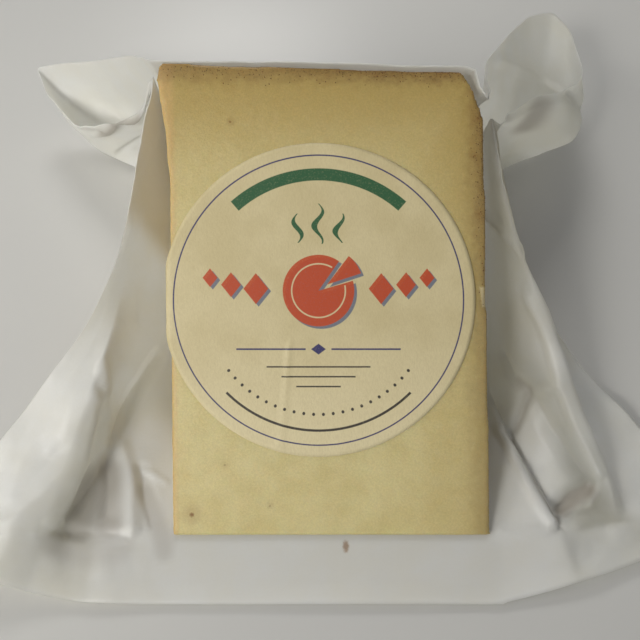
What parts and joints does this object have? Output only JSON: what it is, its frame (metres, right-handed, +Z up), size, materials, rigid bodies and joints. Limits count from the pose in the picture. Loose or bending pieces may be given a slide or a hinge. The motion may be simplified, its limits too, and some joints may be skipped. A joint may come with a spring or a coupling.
{
  "type": "smoked farmhouse cheese wedge in opened paper",
  "caption": "Wedge of golden smoked farmhouse cheese lying on its cut side, with a round paper label, in its own opened white waxed paper.",
  "frame": {"origin": "centre of the bounding box's foot, on the surface that the paper lies on", "axes": "+X across the wedge from its left flat to its right flat, +Y from the wedge's tip edge to its rind, +Z up"},
  "size_m": [0.1634, 0.1588, 0.0579],
  "materials": {
    "cheese": "waxy, slightly moist",
    "label": "satin",
    "paper": "waxed, soft sheen"
  },
  "bodies": {
    "root": {"cheese": "cheese", "label": "label", "paper": "paper"}
  },
  "joints": []
}
